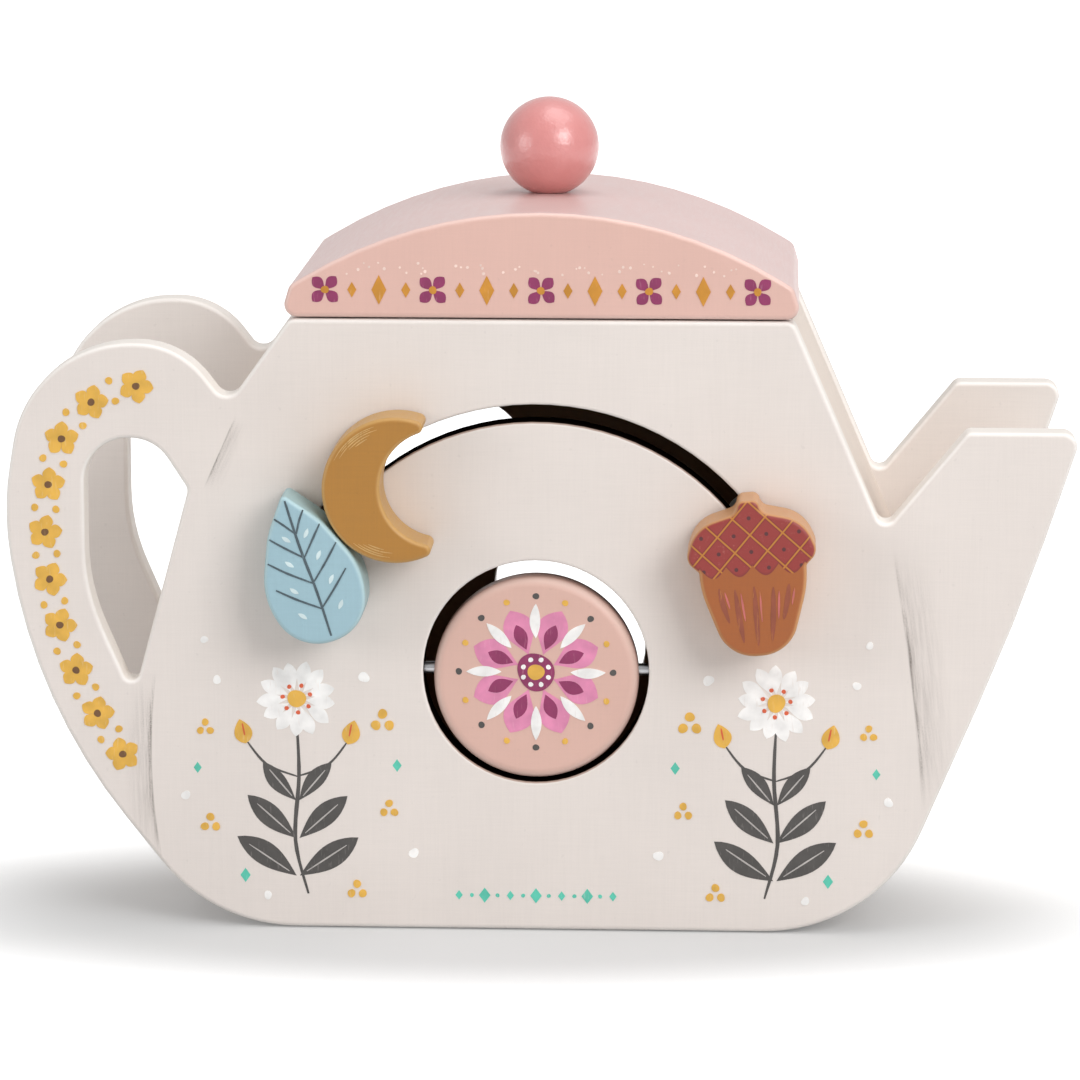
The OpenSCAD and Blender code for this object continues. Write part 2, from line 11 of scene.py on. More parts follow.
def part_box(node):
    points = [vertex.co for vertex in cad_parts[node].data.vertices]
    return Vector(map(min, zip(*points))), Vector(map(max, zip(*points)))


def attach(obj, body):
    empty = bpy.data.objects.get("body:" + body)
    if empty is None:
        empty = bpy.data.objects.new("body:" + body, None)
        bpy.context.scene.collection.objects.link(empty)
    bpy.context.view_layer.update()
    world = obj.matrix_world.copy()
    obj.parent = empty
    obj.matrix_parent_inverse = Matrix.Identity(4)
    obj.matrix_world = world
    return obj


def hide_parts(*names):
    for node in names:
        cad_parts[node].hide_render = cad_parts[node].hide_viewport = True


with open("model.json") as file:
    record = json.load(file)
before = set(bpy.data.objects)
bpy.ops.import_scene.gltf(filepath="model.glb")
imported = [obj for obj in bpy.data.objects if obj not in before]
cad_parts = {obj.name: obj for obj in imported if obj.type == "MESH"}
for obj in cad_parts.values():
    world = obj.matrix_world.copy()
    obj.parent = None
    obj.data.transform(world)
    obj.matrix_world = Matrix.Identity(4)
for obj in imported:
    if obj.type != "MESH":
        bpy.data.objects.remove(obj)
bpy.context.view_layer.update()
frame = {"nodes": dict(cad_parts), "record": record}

# Front and back panels: two boards of one teapot outline, routed from 9 mm birch plywood and sanded round
# along every edge. They are sprayed with cream eggshell paint, then glued and dowelled to the boards between.
MM = 0.001
PANEL_EDGE = 1.2
CUT_EDGE = 0.8
WINDOW = Vector((-1.2, 64.7))
WINDOW_R = 27.5
SLOT_R = 63.7
OPENINGS_R = SLOT_R + 5


def linear(code):
    """An sRGB hex colour as the linear values that shaders take."""
    parts = [int(code[i:i + 2], 16) / 255 for i in (1, 3, 5)]
    return [c / 12.92 if c <= 0.04045 else ((c + 0.055) / 1.055) ** 2.4 for c in parts] + [1.0]


def blank_finish(name):
    """A new material that holds only the plain shader, and its tree."""
    material = bpy.data.materials.new(name)
    material.use_nodes = True
    return material, material.node_tree


def put(tree, kind, inputs=(), **settings):
    """Adds a shader node, or takes up the one of that name that the tree starts with. Inputs come in the
    order in which the node shows them, or by name: a value, a socket, or a node whose first result feeds it."""
    node = tree.nodes.get(kind) or tree.nodes.new(kind)
    for key, value in settings.items():
        setattr(node, key, value)
    if isinstance(inputs, dict):
        sockets, values = [node.inputs[name] for name in inputs], inputs.values()
    else:
        sockets, values = [socket for socket in node.inputs if socket.enabled], inputs
    for socket, value in zip(sockets, values):
        if isinstance(value, bpy.types.Node):
            value = next(result for result in value.outputs if result.enabled)
        if isinstance(value, bpy.types.NodeSocket):
            tree.links.new(value, socket)
        else:
            socket.default_value = value
    return node


def rims(node):
    """The closed outlines, in mm across and up, round the plainer of an upright CAD node's two broad faces."""
    mesh = frame["nodes"][node].data
    key = [(round(v.co.x / MM, 3), round(v.co.z / MM, 3)) for v in mesh.vertices]
    found = []
    for depth in (min(v.co.y for v in mesh.vertices), max(v.co.y for v in mesh.vertices)):
        onward = {}
        for face in mesh.polygons:
            ids = list(face.vertices)
            if any(abs(mesh.vertices[i].co.y - depth) > 1e-6 for i in ids):
                continue
            if face.normal.y > 0:
                ids.reverse()
            for a, b in zip(ids, ids[1:] + ids[:1]):
                if key[a] in onward.get(key[b], ()):
                    onward[key[b]].remove(key[a])
                else:
                    onward.setdefault(key[a], []).append(key[b])
        loops = []
        while any(onward.values()):
            loop = [next(k for k in onward if onward[k])]
            while len(loop) == 1 or loop[-1] != loop[0]:
                loop.append(onward[loop[-1]].pop())
            loops.append(loop[:-1])
        found.append(loops)
    return min(found, key=len)


def inward(loop):
    """For each point of an outline, the unit step that leads square into the wood, and its mitre length."""
    steps = []
    for i, p in enumerate(loop):
        a, b = Vector(p) - Vector(loop[i - 1]), Vector(loop[(i + 1) % len(loop)]) - Vector(p)
        n = Vector((-a.y, a.x)).normalized() + Vector((-b.y, b.x)).normalized()
        n.normalize()
        steps.append((n, 1 / max(0.5, n.dot(Vector((-a.y, a.x)).normalized()))))
    return steps


def sanded_board(name, node, edge, material, cut_edge=None):
    """The board of a CAD node with its front and back edges sanded to a radius of edge mm, or of cut_edge mm
    round the openings near the window. It stands for the node."""
    arc_steps = 5
    low, high = (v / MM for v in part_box(node))
    verts, normals, faces = [], [], []
    front_caps, back_caps = [], []
    for loop in rims(node):
        near = cut_edge and max((Vector(p) - WINDOW).length for p in loop) < OPENINGS_R
        r = cut_edge if near else edge
        depths = [(low.y + r * (1 - math.cos(t)), r * (1 - math.sin(t)), -math.cos(t), math.sin(t))
                  for t in (math.pi / 2 * k / arc_steps for k in range(arc_steps + 1))]
        depths += [(low.y + high.y - y, inset, -ny, side) for y, inset, ny, side in reversed(depths)]
        steps = inward(loop)
        first = len(verts)
        count = len(loop)
        for y, inset, ny, side in depths:
            for (x, z), (n, mitre) in zip(loop, steps):
                verts.append((MM * (x + n.x * inset * mitre), MM * y, MM * (z + n.y * inset * mitre)))
                normals.append(Vector((-n.x * side, ny, -n.y * side)))
        for k in range(len(depths) - 1):
            for i in range(count):
                j = (i + 1) % count
                a, b = first + k * count, first + (k + 1) * count
                faces.append((a + i, b + i, b + j, a + j))
        front_caps.append(list(range(first, first + count)))
        back_caps.append(list(range(first + (len(depths) - 1) * count, first + len(depths) * count)))
    for caps, facing in ((front_caps, -1), (back_caps, 1)):
        flat = [i for cap in caps for i in cap]
        outlines = [[Vector((verts[i][0], verts[i][2], 0)) for i in cap] for cap in caps]
        for triangle in tessellate_polygon(outlines):
            a, b, c = (flat[k] for k in triangle)
            turn = (Vector(verts[b]) - Vector(verts[a])).cross(Vector(verts[c]) - Vector(verts[a])).y
            faces.append((a, b, c) if turn * facing > 0 else (a, c, b))
    mesh = bpy.data.meshes.new(name)
    mesh.from_pydata(verts, [], faces)
    mesh.polygons.foreach_set("use_smooth", [True] * len(mesh.polygons))
    mesh.normals_split_custom_set_from_vertices(normals)
    mesh.materials.append(material)
    board = bpy.data.objects.new(name, mesh)
    bpy.context.scene.collection.objects.link(board)
    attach(board, next(b for b, nodes in frame["record"]["behaviour"]["bodies"].items() if node in nodes))
    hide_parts(node)


# The spray did not reach the inside, and its bare brown is also painted shade for the closed, unlit pot.
# It lies between the panels, and within the left wall, the shoulder, the neck, the spout's floor and the
# base: which way each of these faces out, and how many mm that way it ends. A face there stays bare if the
# pot's middle lies more than FACES_IN mm in front of it.
BARE_WOOD_SHADE = "#96795C"
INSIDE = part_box("back_panel")[0].y + 0.3 * MM
FACES_IN = 4
WALLS = (((-1, 0, 0), 77), ((-0.811, 0, 0.585), 133), ((0.918, 0, 0.397), 112), ((0.932, 0, -0.362), 71.8),
         ((0, 0, -1), -5))


def eggshell_paint(name, face, side, rubbed_highlight, brushed=0.05, roughness=0.48, bare_shaded=None):
    """Thin water paint on sanded wood. The eye gets a soft low sheen, a fine cross-brushed ground with
    0.4 mm strokes, faint clouds, pores that stay open, and paler edges: paint rubbed thin there, and a
    painted highlight where the rounding would catch the light.
    Given a bare colour, faces towards the inside of the pot stay as unpainted wood, where the spray did not
    reach; that brown is also painted shade for the closed inside."""
    material, tree = blank_finish(name)
    spot = put(tree, "ShaderNodeTexCoord")
    place, normal = spot.outputs["Object"], spot.outputs["Normal"]
    fine, long = 1 / (0.4 * MM), 1 / (11 * MM)
    level = put(tree, "ShaderNodeMapping", {"Vector": place, "Scale": (long, long, fine)})
    plumb = put(tree, "ShaderNodeMapping", {"Vector": place, "Scale": (fine, fine, long)})
    rows = put(tree, "ShaderNodeTexNoise", {"Vector": level, "Scale": 1.0, "Detail": 2.0})
    posts = put(tree, "ShaderNodeTexNoise", {"Vector": plumb, "Scale": 1.0, "Detail": 2.0})
    weave = put(tree, "ShaderNodeMath", [rows, posts], operation="ADD")
    cloud = put(tree, "ShaderNodeTexNoise", {"Vector": place, "Scale": 1 / (28 * MM), "Detail": 3.0})
    pores = put(tree, "ShaderNodeTexNoise", {"Vector": place, "Scale": 1 / (1.6 * MM), "Detail": 1.0})
    # Broad faces, sides and the paler edges between them, rubbed and with a painted highlight, are told
    # apart by how far they face front or back.
    facing = put(tree, "ShaderNodeSeparateXYZ", [normal])
    flat = put(tree, "ShaderNodeMath", [facing.outputs["Y"]], operation="ABSOLUTE")
    broad = put(tree, "ShaderNodeMapRange", [flat, 0.35, 0.8])
    colour = put(tree, "ShaderNodeMix", [broad, linear(side), linear(face)], data_type="RGBA")
    # The edge band goes paler: partly rubbed paint, partly a painted highlight on the rounding.
    rise = put(tree, "ShaderNodeMapRange", [flat, 0.15, 0.6])
    fall = put(tree, "ShaderNodeMapRange", [flat, 0.995, 0.8])
    edge = put(tree, "ShaderNodeMath", [rise, fall], operation="MULTIPLY")
    patchy = put(tree, "ShaderNodeMapRange", [cloud, 0.3, 0.6, 0.45, 1.0])
    edge = put(tree, "ShaderNodeMath", [edge, patchy], operation="MULTIPLY")
    colour = put(tree, "ShaderNodeMix", [edge, colour, linear(rubbed_highlight)], data_type="RGBA")
    tone = put(tree, "ShaderNodeMapRange", [weave, 0.7, 1.3, 1 - brushed, 1 + brushed])
    drift = put(tree, "ShaderNodeMapRange", [cloud, 0.3, 0.7, 0.975, 1.015])
    pore = put(tree, "ShaderNodeMapRange", [pores, 0.27, 0.22, 1.0, 0.95])
    shade = put(tree, "ShaderNodeMath", [tone, drift], operation="MULTIPLY")
    shade = put(tree, "ShaderNodeMath", [shade, pore], operation="MULTIPLY")
    ground = put(tree, "ShaderNodeMix", [1.0, colour, shade], data_type="RGBA", blend_type="MULTIPLY")
    # Inside faces turn to bare wood, a brown that also paints the shade of the closed pot.
    if bare_shaded:
        middle = (WINDOW.x * MM, 0, WINDOW.y * MM)
        centre = put(tree, "ShaderNodeVectorMath", [middle, place], operation="SUBTRACT")
        inner = put(tree, "ShaderNodeVectorMath", [centre, normal], operation="DOT_PRODUCT")
        inner = put(tree, "ShaderNodeMath", [inner, FACES_IN * MM], operation="GREATER_THAN")
        depth = put(tree, "ShaderNodeSeparateXYZ", [place])
        depth = put(tree, "ShaderNodeMath", [depth.outputs["Y"]], operation="ABSOLUTE")
        within = [put(tree, "ShaderNodeMath", [depth, INSIDE], operation="LESS_THAN")]
        for out, reach in WALLS:
            gone = put(tree, "ShaderNodeVectorMath", [place, out], operation="DOT_PRODUCT")
            within.append(put(tree, "ShaderNodeMath", [gone, reach * MM], operation="LESS_THAN"))
        for limit in within:
            inner = put(tree, "ShaderNodeMath", [inner, limit], operation="MULTIPLY")
        ground = put(tree, "ShaderNodeMix", [inner, ground, linear(bare_shaded)], data_type="RGBA")
    gloss = put(tree, "ShaderNodeMapRange", [weave, 0.7, 1.3, roughness - 0.06, roughness + 0.08])
    relief = put(tree, "ShaderNodeBump", {"Strength": 0.35, "Distance": 0.03 * MM, "Height": weave})
    put(tree, "Principled BSDF", {"Base Color": ground, "Roughness": gloss, "Normal": relief})
    return material


cream = eggshell_paint("eggshell_paint_cream", "#E4DBD5", "#EAE3DC", "#F1ECE7", brushed=0.017, bare_shaded=BARE_WOOD_SHADE)
tree = cream.node_tree
ground = tree.nodes["Principled BSDF"].inputs["Base Color"].links[0].from_node
spot = put(tree, "ShaderNodeTexCoord")
place, normal = spot.outputs["Object"], spot.outputs["Normal"]
# Along the belly a dry brush left soft grey strokes: a thin dark edge on one side that fades over some 7 mm,
# drawn out in hairs 0.7 mm wide and 12 mm long.
for foot, head, width, bow in (((-93, 15), (-94, 65), -7, 0.31), ((93.3, 29), (84.8, 97), 9, 0.13),
                               ((-82, 109), (-73.8, 127.5), 4, 0.0)):
    rise = Vector(head) - Vector(foot)
    half = rise.length / 2
    middle = (Vector(foot) + Vector(head)) / 2
    along = put(tree, "ShaderNodeMapping",
                {"Vector": place, "Location": (middle.x * MM, 0, middle.y * MM),
                 "Rotation": (0, math.atan2(rise.x, rise.y), 0), "Scale": (width * MM, MM, half * MM)},
                vector_type="TEXTURE")
    at = put(tree, "ShaderNodeSeparateXYZ", [along])
    square = put(tree, "ShaderNodeMath", [at.outputs["Z"], at.outputs["Z"]], operation="MULTIPLY")
    bend = put(tree, "ShaderNodeMath", [square, bow, at.outputs["X"]], operation="MULTIPLY_ADD")
    bend = put(tree, "ShaderNodeMath", [bend, bow], operation="SUBTRACT")
    fade = put(tree, "ShaderNodeMapRange", [bend, 1.0, 0.05, 0.0, 0.5])
    line = put(tree, "ShaderNodeMapRange", [bend, 0.12, 0.03, 0.0, 0.7])
    dry = put(tree, "ShaderNodeMath", [fade, line], operation="ADD")
    sharp = put(tree, "ShaderNodeMapRange", [bend, -0.05, 0.0])
    ends = put(tree, "ShaderNodeMapRange", [square, 1.0, 0.05], interpolation_type="SMOOTHSTEP")
    hairs = put(tree, "ShaderNodeMapping", {"Vector": along, "Scale": (width / 0.7, 0, half / 12)})
    hairs = put(tree, "ShaderNodeTexNoise", {"Vector": hairs, "Scale": 1.0, "Detail": 3.0, "Roughness": 0.6})
    hairs = put(tree, "ShaderNodeMapRange", [hairs, 0.35, 0.65, 0.2, 1.0])
    tooth = put(tree, "ShaderNodeTexNoise", {"Vector": place, "Scale": 1 / (0.25 * MM), "Detail": 1.0})
    tooth = put(tree, "ShaderNodeMapRange", [tooth, 0.35, 0.65, 0.35, 1.0])
    for mask in (sharp, ends, hairs, tooth):
        dry = put(tree, "ShaderNodeMath", [dry, mask], operation="MULTIPLY")
    ground = put(tree, "ShaderNodeMix", [dry, ground, linear("#6E645E")], data_type="RGBA")
# The walls of the window and the slot were scorched by the cutter and left bare: brown turning near black
# and dull, darker than scorch alone as painted shade deep in the narrow cuts. A brown band lies on the
# rounding where a lower edge faces up. The slot's walls lie within SLOT_BAND mm of its middle line, and more
# than SLOT_UP mm above the middle of the window.
SLOT_BAND, SLOT_UP = 3, 20
here = put(tree, "ShaderNodeVectorMath", [place, (WINDOW.x * MM, 0, WINDOW.y * MM)], operation="SUBTRACT")
here = put(tree, "ShaderNodeVectorMath", [here, (1, 0, 1)], operation="MULTIPLY")
away = put(tree, "ShaderNodeVectorMath", [here], operation="LENGTH")
in_window = put(tree, "ShaderNodeMath", [away, (WINDOW_R + 1) * MM], operation="LESS_THAN")
off_slot = put(tree, "ShaderNodeMath", [away, SLOT_R * MM], operation="SUBTRACT")
off_slot = put(tree, "ShaderNodeMath", [off_slot], operation="ABSOLUTE")
in_slot = put(tree, "ShaderNodeMath", [off_slot, SLOT_BAND * MM], operation="LESS_THAN")
up = put(tree, "ShaderNodeSeparateXYZ", [here]).outputs["Z"]
over = put(tree, "ShaderNodeMath", [up, SLOT_UP * MM], operation="GREATER_THAN")
in_slot = put(tree, "ShaderNodeMath", [in_slot, over], operation="MULTIPLY")
cut = put(tree, "ShaderNodeMath", [in_window, in_slot], operation="MAXIMUM")
facing = put(tree, "ShaderNodeSeparateXYZ", [normal])
flat = put(tree, "ShaderNodeMath", [facing.outputs["Y"]], operation="ABSOLUTE")
wall = put(tree, "ShaderNodeMapRange", [flat, 0.45, 0.15])
# Near-black, dull walls: the cutter's scorch, darkened further as painted shade in the narrow cuts.
scorch_and_shade = put(tree, "ShaderNodeMath", [cut, wall], operation="MULTIPLY")
soot = put(tree, "ShaderNodeTexNoise", {"Vector": place, "Scale": 1 / (2.5 * MM), "Detail": 3.0})
burnt_and_shaded = put(tree, "ShaderNodeMix", [soot, linear("#050303"), linear("#140C08")], data_type="RGBA")
upward = put(tree, "ShaderNodeMapRange", [facing.outputs["Z"], 0.15, 0.6])
lip = put(tree, "ShaderNodeMapRange", [flat, 0.97, 0.75, 0.0, 0.8])
lip = put(tree, "ShaderNodeMath", [lip, upward], operation="MULTIPLY")
lip = put(tree, "ShaderNodeMath", [lip, cut], operation="MULTIPLY")
ground = put(tree, "ShaderNodeMix", [lip, ground, linear("#94705C")], data_type="RGBA")
ground = put(tree, "ShaderNodeMix", [scorch_and_shade, ground, burnt_and_shaded], data_type="RGBA")
dull = put(tree, "ShaderNodeMapRange", [scorch_and_shade, 0.0, 1.0, 0.5, 0.0])
put(tree, "Principled BSDF", {"Base Color": ground, "Specular IOR Level": dull})

# The back panel's cream is a slightly lighter copy of the front's, painted light for its shaded inner face in
# the spout.
lightened_back_cream = eggshell_paint("eggshell_paint_cream_back_lightened", "#E6DED8", "#EAE3DC", "#F1ECE7", brushed=0.017,
                             bare_shaded=BARE_WOOD_SHADE)
sanded_board("front_panel_board", "front_panel", PANEL_EDGE, cream, CUT_EDGE)
sanded_board("back_panel_board", "back_panel", PANEL_EDGE, lightened_back_cream, CUT_EDGE)

# Ornament on the front panel: garden flowers and dots in screen ink, one colour after the other, each a
# film some hundredths of a millimetre thick. Edges are slightly uneven, as from a hand-cut stencil.
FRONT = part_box("front_panel")[0].y / MM
FILM = 0.05
hand = random.Random(11)


def screen_ink(name, colour, worn, amount=0.35):
    """Opaque screen ink on brushed paint. The eye gets a flat dull colour, a little streaked and pooled, with
    flecks where the ground shows."""
    material, tree = blank_finish(name)
    place = put(tree, "ShaderNodeTexCoord").outputs["Object"]
    squeegee = (1 / (0.5 * MM), 1 / MM, 1 / (3.5 * MM))
    lay = put(tree, "ShaderNodeMapping", {"Vector": place, "Scale": squeegee})
    streak = put(tree, "ShaderNodeTexNoise", {"Vector": lay, "Scale": 1.0, "Detail": 3.0})
    pool = put(tree, "ShaderNodeTexNoise", {"Vector": place, "Scale": 1 / (4 * MM), "Detail": 2.0})
    depth = put(tree, "ShaderNodeMapRange", [pool, 0.3, 0.7, 0.86, 1.1])
    ink = put(tree, "ShaderNodeMix", [1.0, linear(colour), depth], data_type="RGBA", blend_type="MULTIPLY")
    fleck = put(tree, "ShaderNodeMapRange", [streak, 0.6, 0.72, 0.0, amount])
    ink = put(tree, "ShaderNodeMix", [fleck, ink, linear(worn)], data_type="RGBA")
    relief = put(tree, "ShaderNodeBump", {"Strength": 0.3, "Distance": 0.03 * MM, "Height": streak})
    put(tree, "Principled BSDF", {"Base Color": ink, "Normal": relief, "Roughness": 0.55})
    return material


def heading(angle):
    """How far right and up one step goes that points at angle degrees from level."""
    return math.cos(math.radians(angle)), math.sin(math.radians(angle))


def dot(x, z, r, wobble=0.05):
    """A round blob of ink, a little out of true."""
    n = max(18, int(r * 20))
    two, three = hand.uniform(0, 6), hand.uniform(0, 6)
    turns = [2 * math.pi * k / n for k in range(n)]
    radii = [r * (1 + wobble * (math.sin(2 * a + two) + 0.6 * math.sin(3 * a + three))) for a in turns]
    return [(x + radius * math.cos(a), z + radius * math.sin(a)) for a, radius in zip(turns, radii)]


def blade(x, z, angle, length, width, belly=0.45):
    """A pointed petal or leaf that starts at x, z, points at angle degrees from level and is widest at belly
    of its length."""
    ahead = Vector(heading(angle))
    aside = Vector((-ahead.y, ahead.x))
    steps = [k / 12 for k in range(13)]
    bend = hand.uniform(-0.04, 0.04) * length
    power = math.log(0.5) / math.log(belly)
    half = [width / 2 * math.sin(math.pi * t ** power) ** 0.85 for t in steps]
    spine = [Vector((x, z)) + ahead * length * t + aside * bend * math.sin(math.pi * t) for t in steps]
    right = [s - aside * h for s, h in zip(spine, half)]
    left = [s + aside * h for s, h in zip(spine, half)]
    return [tuple(p) for p in right + left[-2:0:-1]]


def lozenge(x, z, across, up):
    """A diamond of ink of some half width and half height."""
    return [(x - across, z), (x, z - up), (x + across, z), (x, z + up)]


def through(points, steps=6):
    """A smooth line through some points."""
    line = []
    for i in range(len(points) - 1):
        p = [Vector(points[max(0, min(len(points) - 1, i + k))]) for k in (-1, 0, 1, 2)]
        for t in (k / steps for k in range(steps)):
            line.append(0.5 * (2 * p[1] + (p[2] - p[0]) * t + (2 * p[0] - 5 * p[1] + 4 * p[2] - p[3]) * t * t
                               + (3 * p[1] - p[0] - 3 * p[2] + p[3]) * t ** 3))
    return line + [Vector(points[-1])]


def stroke(points, width, taper=0.55):
    """A brush stroke along a smooth line, thinner at both ends."""
    line = through(points)
    right, left = [], []
    for i, p in enumerate(line):
        ahead = (line[min(i + 1, len(line) - 1)] - line[max(i - 1, 0)]).normalized()
        half = width / 2 * (1 - taper * abs(2 * i / (len(line) - 1) - 1) ** 2) * hand.uniform(0.9, 1.1)
        right.append(tuple(p + Vector((ahead.y, -ahead.x)) * half))
        left.append(tuple(p + Vector((-ahead.y, ahead.x)) * half))
    return right + left[::-1]


def lay_ink(name, body, shapes, ink, layer=0, face=FRONT, back=False):
    """Lays a film of ink on an upright face, one layer over the other, as thin closed flakes that each lie
    a hair higher than the one before."""
    bm = bmesh.new()
    out = 1 if back else -1
    under = face - out * FILM * 0.5
    for k, shape in enumerate(shapes):
        top = face + out * FILM * (1 + layer + k / len(shapes))
        upper = [bm.verts.new((x * MM, top * MM, z * MM)) for x, z in shape]
        lower = [bm.verts.new((x * MM, under * MM, z * MM)) for x, z in shape]
        bm.faces.new(upper)
        bm.faces.new(lower[::-1])
        for i in range(len(shape)):
            bm.faces.new((upper[i - 1], lower[i - 1], lower[i], upper[i]))
    bmesh.ops.recalc_face_normals(bm, faces=bm.faces)
    mesh = bpy.data.meshes.new(name)
    bm.to_mesh(mesh)
    bm.free()
    mesh.materials.append(ink)
    film = bpy.data.objects.new(name, mesh)
    bpy.context.scene.collection.objects.link(film)
    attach(film, body)


charcoal, white, midribs, gold, teal, coral, brown = ([] for _ in range(7))
# A row of small flowers runs up the handle, with a pair of dots after each.
HANDLE_PITCH = 5.9
DOT_ASIDE = 2.6
row = through([(-102.5, 43), (-109, 54), (-116, 70), (-120, 88), (-120.5, 105), (-116.5, 121), (-107.5, 131.5),
               (-97, 134.6)], 40)
gone, count = HANDLE_PITCH, 0
for a, b in zip(row, row[1:]):
    gone += (b - a).length
    if gone < HANDLE_PITCH:
        continue
    gone -= HANDLE_PITCH
    count += 1
    if count % 2:
        start = hand.uniform(0, 72)
        for k in range(5):
            gold.append(blade(b.x, b.y, start + k * 72, 4.3, 3.3, 0.6))
        brown.append(dot(b.x, b.y, 0.9))
    else:
        aside = Vector((a.y - b.y, b.x - a.x)).normalized() * DOT_ASIDE
        gold.append(dot(b.x + aside.x, b.y + aside.y, 0.9))
        gold.append(dot(b.x - aside.x, b.y - aside.y, 0.9))

# A plant stands on each side of the window, one the mirror of the other: a stem, three pairs of leaves with
# pale midribs, a daisy and two buds. Trefoils of dots, lozenges and white dots lie round it.
PLANT_OUT = 58.5
DAISY_UP, DAISY_R = 57.5, 9.6
BUD_OUT, BUD_UP = 12.5, 47
for side in (-1, 1):
    foot = WINDOW.x + side * PLANT_OUT
    stem = [(foot - side * 2.5, 8.5), (foot + side * 0.6, 22), (foot - side * 0.4, 38), (foot, 51)]
    charcoal.append(stroke(stem, 1.0))
    for z, length, lean in ((13, 17.5, 34), (22.5, 16, 42), (32, 12.5, 50)):
        for way in (-1, 1):
            x, angle = foot + way * 0.4, 90 - way * (90 - lean)
            charcoal.append(blade(x, z, angle, length, length * 0.34, 0.55))
            tip = Vector(heading(angle)) * length
            midribs.append(stroke([(x + tip.x * t, z + tip.y * t) for t in (0.12, 0.8)], 0.35))
    start = hand.uniform(0, 30)
    for k in range(13):
        angle = start + k * 360 / 13
        across, up = (0.22 * DAISY_R * step for step in heading(angle))
        white.append(blade(foot + across, DAISY_UP + up, angle + hand.uniform(-4, 4),
                           DAISY_R * hand.uniform(0.72, 0.82), DAISY_R * 0.36, 0.62))
    gold.append(dot(foot, DAISY_UP, 0.23 * DAISY_R))
    for k in range(7):
        across, up = (0.36 * DAISY_R * step for step in heading(start + k * 360 / 7))
        coral.append(dot(foot + across, DAISY_UP + up, 0.055 * DAISY_R))
    for way in (-1, 1):
        x = foot + way * BUD_OUT
        charcoal.append(stroke([(foot, 38), (foot + way * BUD_OUT * 0.6, 41), (x, BUD_UP)], 0.6))
        gold.append(blade(x, BUD_UP - 0.8, 90 - way * 15, 6.2, 4.4, 0.42))
        coral.append(stroke([(x + way * 0.3, BUD_UP + 1.2), (x + way * 0.9, BUD_UP + 4.2)], 0.45))
    for x, z, r in ((36, 30, 1.5), (37.5, 52, 1.9), (80, 26, 1.6), (44, 9.5, 1.6), (81, 50, 1.4)):
        for across, up in map(heading, (90, 210, 330)):
            gold.append(dot(WINDOW.x + side * x + r * across, z + r * up, 0.62 * r))
    for x, z, r in ((34, 41, 1.6), (71.5, 13, 1.8), (83, 40, 1.4)):
        teal.append(lozenge(WINDOW.x + side * x, z, r * 0.7, r))
    for x, z, r in ((42, 63, 1.3), (78, 62, 1.0), (30, 19, 1.2), (86, 33, 1.1), (81, 72, 0.9), (66, 8, 1.0)):
        white.append(dot(WINDOW.x + side * x, z, r, 0.1))
# A row of lozenges runs under the window, large and small by turns, with a dot between each two.
ROW_UP, ROW_PITCH = 8.6, 6.3
for k in range(-3, 4):
    x, r = WINDOW.x + k * ROW_PITCH, 1.9 if k % 2 == 0 else 1.2
    teal.append(lozenge(x, ROW_UP, r * 0.75, r))
    if k < 3:
        teal.append(dot(x + ROW_PITCH / 2, ROW_UP, 0.5))
ink_white = screen_ink("screen_ink_white", "#F8F6F4", "#E6DED8", 0.5)
ink_gold = screen_ink("screen_ink_gold", "#E2B04C", "#EBD6A8")
ink_brown = screen_ink("screen_ink_brown", "#6B4A2C", "#A98A5A")
ink_coral = screen_ink("screen_ink_coral", "#D8603C", "#E6A58E")
ink_charcoal = screen_ink("screen_ink_charcoal", "#4B4846", "#8F8A86")
ink_grey = screen_ink("screen_ink_grey", "#B9B4B0", "#6E6A67")
ink_teal = screen_ink("screen_ink_teal", "#5CC8B0", "#BFE0D6")
for name, shapes, ink, layer in (("charcoal", charcoal, ink_charcoal, 0), ("white", white, ink_white, 1),
                                 ("midrib", midribs, ink_grey, 2), ("gold", gold, ink_gold, 2),
                                 ("teal", teal, ink_teal, 0), ("coral", coral, ink_coral, 3),
                                 ("brown", brown, ink_brown, 3)):
    lay_ink("panel_print_" + name, "pot", shapes, ink, layer)

# Boards between the panels: planed poplar cut square, rubbed with a warmer beige wash before gluing, so they
# read a shade darker than the panels at the neck, the shoulder and inside the spout.
wash = eggshell_paint("beige_wash_on_poplar", "#DDD0C5", "#E0D3C8", "#E6DACF", brushed=0.04, roughness=0.6,
                      bare_shaded=BARE_WOOD_SHADE)
for node in ("base_board", "left_wall", "left_shoulder", "right_wall", "spout_floor"):
    frame["nodes"][node].data.materials[0] = wash

# Dowels, keepers and the lid's locating board: plain beech with no finish, planed or turned along the grain.
# The eye gets soft bands of pale brown, some 2 mm wide and 30 mm long, with the fine dark flecks of its rays.
beech, tree = blank_finish("bare_beech")
place = put(tree, "ShaderNodeTexCoord").outputs["Object"]
along_grain = (1 / (30 * MM), 1 / (2.2 * MM), 1 / (2.2 * MM))
grain = put(tree, "ShaderNodeMapping", {"Vector": place, "Scale": along_grain})
rings = put(tree, "ShaderNodeTexNoise", {"Vector": grain, "Scale": 1.0, "Detail": 4.0, "Distortion": 0.6})
fleck = put(tree, "ShaderNodeTexNoise", {"Vector": place, "Scale": 1 / (0.7 * MM), "Detail": 2.0})
band = put(tree, "ShaderNodeMapRange", [rings, 0.35, 0.65])
wood = put(tree, "ShaderNodeMix", [band, linear("#C9A57C"), linear("#E0C39C")], data_type="RGBA")
ray = put(tree, "ShaderNodeMapRange", [fleck, 0.62, 0.7, 1.0, 0.82])
wood = put(tree, "ShaderNodeMix", [1.0, wood, ray], data_type="RGBA", blend_type="MULTIPLY")
